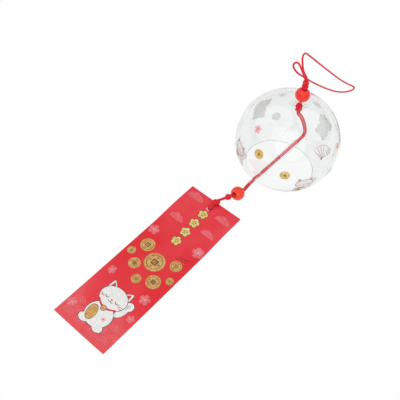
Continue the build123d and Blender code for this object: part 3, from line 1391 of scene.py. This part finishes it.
def cat_motif() -> Motif:
    """A seated beckoning cat, full face, one paw up and an oval coin at its side.

    Returns:
        The drawing.
    """
    motif = Motif()
    edge, mid = 0.45, -1
    body = [oval(10.5, 9.5, (0, -10)), oval(4.2, 3.0, (-6.5, -17.8)), oval(4.2, 3.0, (6.5, -17.8)),
            oval(2.9, 6.2, (10.6, 1.5), -14), oval(3.3, 3.4, (12.0, 7.4))]
    for outline in body:
        motif.edged(outline, Ink.WHITE, 0, edge)
    for x, y in ((11.0, 8.6), (12.4, 8.9)):
        motif.stroke([(x, y), (x + 0.1, y - 1.0), (x, y - 2.0)], 0.35, Ink.LINE, 2)
    head = oval(11.0, 8.6, (mid, 5))
    motif.edged(head, Ink.WHITE, 4, edge)
    motif.fill(head, Ink.WHITE, 6)
    for side in (1, -1):
        root = (mid + side * 6.6, 10.4)
        motif.edged(ear(root, 7.0, 6.2, -side * 24), Ink.WHITE, 2, edge)
        motif.fill(ear((root[0], root[1] + 0.9), 4.0, 3.7, -side * 24), Ink.RED, 4)
        motif.stroke(arc((mid + side * 4.6, 5.0), 2.0, 200, 340), 0.6, Ink.LINE, 7)
        motif.stroke(arc((mid + side * 1.1, 2.6), 1.1, 190, 350), 0.45, Ink.LINE, 7)
        motif.fill(oval(1.5, 0.9, (mid + side * 7.4, 2.6), 0, 16), Ink.PINK, 7)
        for drop in (0.0, 1.3):
            heights = (3.0 - drop, 3.3 - drop, 3.4 - drop * 1.3)
            whisker = [(mid + side * x, y) for x, y in zip((7.8, 9.2, 10.6), heights)]
            motif.stroke(whisker, 0.3, Ink.LINE, 8)
    motif.fill(oval(0.8, 0.6, (mid, 3.4), 0, 14), Ink.RED, 8)
    motif.stroke(arc((mid, 6.4), 10.4, 222, 318, 20), 1.7, Ink.RED, 7)
    motif.edged(disc(1.9, (mid, -4.6), 20), Ink.GOLD, 8, 0.35)
    motif.stroke([(-2.4, -4.9), (mid, -5.0), (0.4, -4.9)], 0.35, Ink.LINE, 10)
    motif.edged(oval(3.6, 5.8, (-5.2, -11.6), 12), Ink.GOLD, 8, 0.4)
    for drop in (-3.4, -1.7, 0.0, 1.7, 3.4):
        bar = [(x + 0.2 * drop, y + drop) for x, y in ((-7.2, -11.9), (-5.2, -11.6), (-3.2, -11.3))]
        motif.stroke(bar, 0.45, Ink.BRONZE, 10)
    motif.fill(flower(2.0, (5.2, -10.6), 90, 0.1), Ink.PINK, 2)
    motif.fill(disc(0.5, (5.2, -10.6), 12), Ink.RED, 3)
    return motif


class Figure(Enum):
    """The figures printed round the bell, each with the scale of its print."""

    CAT = ("cat", 0.6)
    FAN = ("fan", 0.68)
    COIN = ("coin", 0.9)
    BLOSSOM = ("blossom", 0.8)

    def draw(self) -> Motif:
        """The figure's drawing, at the size that the bell carries.

        Returns:
            The drawing.
        """
        if self is Figure.CAT:
            return cat_motif()
        if self is Figure.FAN:
            return fan_motif(15.0)
        if self is Figure.COIN:
            return coin_motif(4.0, Ink.PALE_GOLD, Ink.BRONZE)
        return blossom_motif(4.2, Ink.PINK, Ink.RED)

    def base(self) -> list[list[Point]]:
        """Outlines of the plain under-print that shows from inside the glass.

        Returns:
            The outlines, none for a figure of bare lines.
        """
        if self is Figure.CAT:
            feet = [oval(4.8, 3.6, (side * 6.5, -17.8)) for side in (1, -1)]
            ears = [ear((-1 + side * 6.6, 10.0), 8.2, 7.4, -side * 24) for side in (1, -1)]
            paw = [oval(3.5, 6.8, (10.6, 1.5), -14), oval(3.9, 4.0, (12.0, 7.4))]
            return [oval(11.1, 10.1, (0, -10)), oval(11.6, 9.2, (-1, 5)), *feet, *ears, *paw]
        if self is Figure.FAN:
            return []
        if self is Figure.COIN:
            return [disc(4.25)]
        return [flower(4.3, turn=90)]


@dataclass
class BlownBell:
    """The blown glass ball, open below, with small prints round it.

    Each print has its figure, its degrees round the bell and above its middle, and its turn.
    """

    radius: float = 40.0 * MM
    wall: float = 1.6 * MM
    mouth_depth: float = 28.0 * MM
    hole: float = 2.1 * MM
    ground_skin: float = 0.04 * MM
    steps: int = 110
    sides: int = 192

    PRINTS = (
        (Figure.CAT, 238, -14, 6), (Figure.COIN, 212, 2, 0), (Figure.FAN, 250, 22, -20),
        (Figure.COIN, 276, -10, 0), (Figure.BLOSSOM, 282, 22, 0), (Figure.FAN, 302, -10, 16),
        (Figure.COIN, 178, 14, 0), (Figure.BLOSSOM, 160, 34, 20), (Figure.CAT, 150, -6, -8),
        (Figure.CAT, 342, 2, 8), (Figure.COIN, 316, 24, 0), (Figure.FAN, 22, 2, -10),
        (Figure.COIN, 0, 26, 0), (Figure.BLOSSOM, 48, 24, 0), (Figure.CAT, 70, 4, 4),
        (Figure.COIN, 96, 20, 0), (Figure.FAN, 112, -8, 12), (Figure.COIN, 46, -14, 0),
        (Figure.BLOSSOM, 316, -16, 10),
    )

    @cached_property
    def centre(self) -> Vector:
        """The ball's middle, from the box of its solid."""
        low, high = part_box("glass_bell")
        return Vector(((low.x + high.x) / 2, (low.y + high.y) / 2, high.z - self.radius))

    @cached_property
    def middle(self) -> float:
        """Radius of the wall's middle."""
        return self.radius - self.wall / 2

    @cached_property
    def rim(self) -> float:
        """Where the wall ends at the mouth, as an angle from the top."""
        return math.acos(-(self.mouth_depth - self.wall / 2) / self.middle)

    def turned(self, profile: Sequence[Point], name: str, material: Material, sharp: float) -> Piece:
        """A piece turned about the bell's own axis.

        Args:
            profile: Pairs of radius and height.
            name: The piece's name.
            material: Its finish.
            sharp: Degrees above which edges stay crisp.

        Returns:
            The piece.
        """
        sketch = MeshSketch()
        sketch.add_lathe(profile, self.centre, joint_axis("top_bead_spin"), self.sides)
        return sketch.to_piece(name, [material], sharp)

    def build_glass(self, material: Material) -> Piece:
        """The glass with its rounded rim and cord hole, in place of its solid.

        Args:
            material: The glass.

        Returns:
            The bell.
        """
        half = self.wall / 2
        top = math.asin((self.hole + half) / self.middle)
        falls = [top + (self.rim - top) * k / self.steps for k in range(self.steps + 1)]
        radii = (self.radius, self.radius - self.wall)
        outer, inner = ([(r * math.sin(a), r * math.cos(a)) for a in falls] for r in radii)
        profile = outer + self.rounded(self.rim, half, 1) + inner[::-1] + self.rounded(top, half, -1)
        piece = self.turned(profile, "blown_bell", material, ROUND_FORM)
        let_light_through(piece)
        return stand_for(piece, "bell_glass", "bell", "glass_bell")

    def build_ground_edge(self, material: Material) -> Piece:
        """The dull skin that grinding leaves round the mouth's edge.

        Args:
            material: The ground finish.

        Returns:
            The skin.
        """
        half = self.wall / 2
        skin = self.rounded(self.rim, half + self.ground_skin, 1)
        under = self.rounded(self.rim, half + self.ground_skin / 8, 1)
        piece = self.turned(skin + under[::-1], "ground_edge", material, TURNED_FORM)
        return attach(piece, "bell")

    def rounded(self, angle: float, half: float, way: int) -> list[Point]:
        """Half-round edge where the wall ends.

        Args:
            angle: Where the wall ends, from the top.
            half: Half of the wall.
            way: 1 at the mouth, from outside to inside, and -1 at the cord hole, from inside to outside.

        Returns:
            Pairs of radius and height.
        """
        outward = (math.sin(angle), math.cos(angle))
        onward = (way * math.cos(angle), -way * math.sin(angle))
        points = []
        for k in range(1, 10):
            t = math.pi * k / 10
            a, b = self.middle + way * half * math.cos(t), half * math.sin(t)
            points.append((a * outward[0] + b * onward[0], a * outward[1] + b * onward[1]))
        return points

    def skin(self, around: float, above: float, turn: float) -> Place:
        """Where a print's points lie on the glass.

        Args:
            around: Degrees round the bell.
            above: Degrees above its middle.
            turn: Degrees that the print is turned.

        Returns:
            A function of a flat point in millimetres and a height in metres.
        """
        axis, centre = joint_axis("top_bead_spin"), self.centre
        ahead = Vector((1, 0, 0))
        ahead = (ahead - axis * ahead.dot(axis)).normalized()
        level = Matrix.Rotation(math.radians(around), 3, axis) @ ahead
        rise = math.radians(above)
        out = level * math.cos(rise) + axis * math.sin(rise)
        east = axis.cross(out).normalized()
        north = out.cross(east)
        spun = Matrix.Rotation(math.radians(turn), 3, out)
        east, north = spun @ east, spun @ north

        def place(point: Point, height: float) -> Vector:
            """One point of the print in space.

            Args:
                point: The flat point in millimetres.
                height: Metres above the surface.

            Returns:
                The point in the row frame.
            """
            x, y = point[0] * MM, point[1] * MM
            reach = math.hypot(x, y)
            if reach < 1e-9:
                return centre + out * (self.radius + height)
            angle = reach / self.radius
            aside = (east * x + north * y) / reach
            return centre + (out * math.cos(angle) + aside * math.sin(angle)) * (self.radius + height)

        return place

    def build_prints(self, inks: Inks) -> list[Piece]:
        """The prints round the bell, each on its plain under-print.

        Args:
            inks: The finished inks.

        Returns:
            The prints.
        """
        pieces = []
        for number, (figure, around, above, turn) in enumerate(self.PRINTS, 1):
            word, scale = figure.value
            motif = Motif()
            for outline in figure.base():
                motif.fill(outline, Ink.BACK, 0)
            motif.layers += [(plan, ink, layer + 1) for plan, ink, layer in figure.draw().layers]
            name = f"bell_print_{number:02d}_{word}"
            piece = motif.lay(name, self.skin(around, above, turn), scale, inks)
            pieces.append(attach(piece, "bell"))
        return pieces


@dataclass
class PrintedStrip:
    """The paper strip: thin printed card with a punched hole, lifted at its top and faintly curled.

    Prints are placed by millimetres across from the left edge and down from the top edge, and then
    have their size and their turn in degrees.
    """

    length: float = 142.5
    width: float = 48.5
    thickness: float = 0.4 * MM
    lift: float = 1.75 * MM
    lifted: float = 16.0
    slope: float = 30.0
    hole_radius: float = 2.25
    hole_inset: float = 7.9
    corner_curl: float = 0.7 * MM
    curl_start: float = 90.0
    print_margin: float = 0.05
    fine_half: float = 6.0
    fine_cells: int = 8
    side_cells: int = 9
    rows_below: int = 64

    CRESTS = (15.5, 25.5, 35.5, 45.5)
    CREST_SIZE = 4.3
    COINS = (
        (11.0, 62.0, 5.4), (25.0, 69.5, 7.6), (39.0, 62.0, 4.4), (14.5, 79.5, 4.4), (35.5, 82.0, 5.4),
        (44.0, 74.0, 2.9), (5.2, 73.0, 3.1), (24.5, 88.0, 3.6),
    )
    BLOSSOMS = (
        (5.0, 49.0, 4.6, 0), (43.5, 43.0, 5.0, 30), (41.0, 96.0, 4.4, 10), (6.5, 94.0, 3.6, 40),
        (44.0, 113.0, 3.2, 0), (4.5, 130.0, 4.0, 20),
    )
    BRANCHES = ((3.0, 57.0, 11.0, -150), (45.5, 51.0, 13.0, 200))
    CLOUDS = ((9.5, 6.5, 15.0), (39.5, 10.5, 14.0), (10.5, 30.0, 13.0), (38.5, 27.0, 12.0))
    CAT = (25.0, 114.5)
    WAVES_DOWN = 139.0
    WAVES_WIDTH = 44.0
    WAVES_ROWS = 3

    @cached_property
    def corners(self) -> tuple[Vector, Vector]:
        """The lowest and highest corners of the card's solid."""
        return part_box("paper_strip")

    def surface(self, point: Point, height: float) -> Vector:
        """A point above the card's underside.

        Args:
            point: Millimetres across from the left edge and down from the top edge.
            height: Metres above the underside.

        Returns:
            The point in the row frame.
        """
        across, down = point
        low, high = self.corners
        share = min(max((down - self.lifted) / self.slope, 0.0), 1.0)
        fall = 1 - share * share * (3 - 2 * share)
        past = max(0.0, (down - self.curl_start) / (self.length - self.curl_start))
        aside = abs(across - self.width / 2) / (self.width / 2)
        curl = self.corner_curl * past ** 2 * aside ** 2
        return Vector((high.x - down * MM, high.y - across * MM, low.z + self.lift * fall + curl + height))

    def plan(self) -> Plan:
        """The card's cells, with a round hole through a square of finer ones.

        Returns:
            Flat points and cells.
        """
        half, fine, side = self.fine_half, self.fine_cells, self.side_cells
        mid = self.width / 2
        marks = [2 * half * k / fine - half for k in range(fine + 1)]
        margin = mid - half
        across = [mid - half - margin * k / side for k in range(side, 0, -1)] + [mid + m for m in marks]
        across += [mid + half + margin * k / side for k in range(1, side + 1)]
        below = self.hole_inset + half
        down = [0.0] + [self.hole_inset + m for m in marks]
        down += [below + (self.length - below) * k / self.rows_below for k in range(1, self.rows_below + 1)]
        flat = [(a, d) for d in down for a in across]
        columns = len(across)
        cells: list[tuple[int, ...]] = []
        for row in range(len(down) - 1):
            for col in range(columns - 1):
                if 1 <= row <= fine and side <= col < side + fine:
                    continue
                start = row * columns + col
                cells.append((start, start + columns, start + columns + 1, start + 1))
        border = [(1, side + k) for k in range(fine)]
        border += [(1 + k, side + fine) for k in range(fine)]
        border += [(1 + fine, side + fine - k) for k in range(fine)]
        border += [(1 + fine - k, side) for k in range(fine)]
        rings = [[row * columns + col for row, col in border]]
        for share in (0.34, 0.67, 1.0):
            ring = []
            for index in rings[0]:
                a, d = flat[index][0] - mid, flat[index][1] - self.hole_inset
                reach = math.hypot(a, d)
                wanted = reach + (self.hole_radius - reach) * share
                ring.append(len(flat))
                flat.append((mid + a / reach * wanted, self.hole_inset + d / reach * wanted))
            rings.append(ring)
        count = len(border)
        for outer, inner in zip(rings, rings[1:]):
            for k in range(count):
                n = (k + 1) % count
                cells.append((outer[k], inner[k], inner[n], outer[n]))
        return flat, cells

    def build_card(self, printed: Material, bare: Material) -> Piece:
        """The card in place of its solid, red on both faces and bare on its edges.

        Args:
            printed: The faces' finish.
            bare: The edges' finish.

        Returns:
            The card.
        """
        sketch = MeshSketch()
        sketch.add_slab(self.plan(), self.surface, (0.0, self.thickness), 0, 1)
        piece = sketch.to_piece("printed_strip", [printed, bare], FLAT_FORM)
        return stand_for(piece, "printed_paper", "strip", "paper_strip")

    def spot(self, across: float, down: float, turn: float = 0.0) -> Place:
        """Where a print's points lie on the card.

        Args:
            across: Millimetres from the left edge to the print's middle.
            down: Millimetres from the top edge to it.
            turn: Degrees that the print is turned.

        Returns:
            A function of a flat point in millimetres and a height in metres.
        """
        c, s = math.cos(math.radians(turn)), math.sin(math.radians(turn))
        edge = self.print_margin

        def place(point: Point, height: float) -> Vector:
            """One point of the print in space.

            Args:
                point: The flat point in millimetres.
                height: Metres above the surface.

            Returns:
                The point in the row frame.
            """
            x, y = point
            a = min(max(across + x * c - y * s, edge), self.width - edge)
            d = min(max(down - x * s - y * c, edge), self.length - edge)
            return self.surface((a, d), self.thickness + height)

        return place

    def build_prints(self, inks: Inks) -> list[Piece]:
        """The prints on the card's face.

        Args:
            inks: The finished inks.

        Returns:
            The prints.
        """
        mid = self.width / 2
        jobs: list[tuple[str, Motif, Place]] = []
        for i, (a, d, size) in enumerate(self.CLOUDS, 1):
            jobs.append((f"cloud_{i}", cloud_motif(size), self.spot(a, d)))
        jobs.append(("waves", wave_motif(self.WAVES_WIDTH, self.WAVES_ROWS), self.spot(mid, self.WAVES_DOWN)))
        for i, (a, d, size, turn) in enumerate(self.BLOSSOMS, 1):
            jobs.append((f"blossom_{i}", blossom_motif(size, Ink.BLUSH, Ink.PINK), self.spot(a, d, turn)))
        for i, (a, d, size, turn) in enumerate(self.BRANCHES, 1):
            jobs.append((f"branch_{i}", branch_motif(size), self.spot(a, d, turn)))
        for i, d in enumerate(self.CRESTS, 1):
            jobs.append((f"crest_{i}", crest_motif(self.CREST_SIZE), self.spot(mid, d)))
        for i, (a, d, size) in enumerate(self.COINS, 1):
            jobs.append((f"coin_{i}", coin_motif(size, Ink.GOLD, Ink.LINE), self.spot(a, d)))
        jobs.append(("cat", cat_motif(), self.spot(*self.CAT)))
        return [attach(motif.lay("strip_" + word, place, 1.0, inks), "strip") for word, motif, place in jobs]


@dataclass
class Studio:
    """White table, soft light and the camera. Angles are in degrees, and the lens is in millimetres."""

    stand: tuple[float, float, float] = (-0.20628, -0.15850, 0.38242)
    heading: float = 40.274
    tilt: float = 53.002
    roll: float = -1.078
    lens: float = 55.479
    sensor: float = 36.0
    table_reach: float = 3.0
    table_drop: float = 0.05 * MM
    table_glow: float = 0.97
    sky_light: float = 0.5
    sky_seen: float = 0.7

    LAMP_AIM = Vector((0.03, 0.0, 0.02))
    LAMPS = (
        ("key", (-0.30, 0.45, 0.85), 1.7, 4.8),
        ("fill", (0.55, -0.55, 0.75), 1.2, 2.4),
        ("front", (-0.55, -0.50, 0.60), 1.3, 3.3),
    )

    def build_table(self) -> None:
        """The white table, which keeps a soft shadow."""
        sheet = FinishSheet("white_table")
        sheet.set(Base_Color=tint("FAFAFA"), Roughness=0.9)
        glow = sheet.node("Emission", Color=tint("FFFFFF"))
        mix = sheet.node("MixShader", Fac=sheet.between(sheet.seen_directly(), 0.0, self.table_glow))
        sheet.put(mix.inputs[1], sheet.shader.outputs["BSDF"])
        sheet.put(mix.inputs[2], glow.outputs["Emission"])
        sheet.put(sheet.output.inputs["Surface"], mix.outputs["Shader"])
        mesh = bpy.data.meshes.new("table")
        corners = [(x, y, -self.table_drop) for x, y in square(self.table_reach)]
        mesh.from_pydata(corners, [], [(0, 1, 2, 3)])
        mesh.materials.append(sheet.material)
        table = bpy.data.objects.new("table", mesh)
        bpy.context.scene.collection.objects.link(table)

    def build_light(self) -> None:
        """An even sky and three large soft lamps, which look no brighter than the sky in the glass."""
        world = bpy.data.worlds.new("soft_room")
        bpy.context.scene.world = world
        world.use_nodes = True
        sheet = NodeSheet(world.node_tree)
        sky = sheet.tree.nodes["Background"]
        sheet.put(sky.inputs["Color"], tint("F2F3F3"))
        level = sheet.between(sheet.seen_directly(), self.sky_light, self.sky_seen)
        sheet.put(sky.inputs["Strength"], level)
        for name, place, size, watts in self.LAMPS:
            self.lamp(name, Vector(place), size, watts)

    def lamp(self, name: str, place: Vector, size: float, watts: float) -> None:
        """A round soft lamp that points at the object.

        Args:
            name: The lamp's name.
            place: Where it stands.
            size: Its width in metres.
            watts: Its power.
        """
        data = bpy.data.lights.new(name, "AREA")
        data.shape = "DISK"
        data.size = size
        data.energy = watts
        lamp = bpy.data.objects.new(name, data)
        lamp.location = place
        lamp.rotation_mode = "QUATERNION"
        lamp.rotation_quaternion = (self.LAMP_AIM - place).to_track_quat("-Z", "Y")
        bpy.context.scene.collection.objects.link(lamp)

    def build_camera(self) -> None:
        """The camera at the photograph's place."""
        h, e, r = (math.radians(a) for a in (self.heading, self.tilt, self.roll))
        ahead = Vector((math.cos(e) * math.cos(h), math.cos(e) * math.sin(h), -math.sin(e)))
        right = ahead.cross(UP).normalized()
        above = right.cross(ahead)
        side = right * math.cos(r) - above * math.sin(r)
        top = right * math.sin(r) + above * math.cos(r)
        data = bpy.data.cameras.new("camera")
        data.lens = self.lens
        data.sensor_width = self.sensor
        camera = bpy.data.objects.new("camera", data)
        axes = Matrix((side, top, -ahead)).transposed().to_4x4()
        camera.matrix_world = Matrix.Translation(Vector(self.stand)) @ axes
        bpy.context.scene.collection.objects.link(camera)
        bpy.context.scene.camera = camera


def main() -> None:
    """Build every piece in order and report each."""
    logging.basicConfig(level=logging.INFO, format="%(name)s: %(message)s")
    bpy.context.scene.view_settings.view_transform = "Standard"
    studio = Studio()
    studio.build_camera()
    red = CordFinish().make()
    cord = BraidedCord()
    work = CordWork(cord, red)
    pieces = [work.build_loop(), *work.build_strands(), work.build_neck()]
    pieces += [work.build_link(), *work.build_tie(), work.build_cut_end()]
    pieces += [knot.build(cord, red) for knot in KnotSet().tie()]
    red_bead = BeadFinish("red_bead", "FF1405", "FF260C")
    orange_bead = BeadFinish("orange_bead", "FF3006", "FF460C")
    pieces.append(ThreadedBead("top_bead", "top_bead_spin", red_bead).build())
    pieces.append(ThreadedBead("lower_bead", "lower_bead_spin", orange_bead).build())
    inks = {ink: ink.make() for ink in Ink}
    bell = BlownBell()
    pieces.append(bell.build_glass(GlassFinish("blown_glass", 34, 0.6 * MM, 30.0).make()))
    pieces.append(bell.build_ground_edge(GroundFinish().make()))
    pieces += bell.build_prints(inks)
    pieces.append(ClapperTube().build(GlassFinish("drawn_glass", 60, 0.2 * MM, 3.0).make()))
    strip = PrintedStrip()
    pieces.append(strip.build_card(CardFinish().make(), PaperFinish().make()))
    pieces += strip.build_prints(inks)
    studio.build_table()
    studio.build_light()
    for piece in pieces:
        log.info("%s has %d points", piece.name, len(piece.data.vertices))


if __name__ == "__main__":
    main()
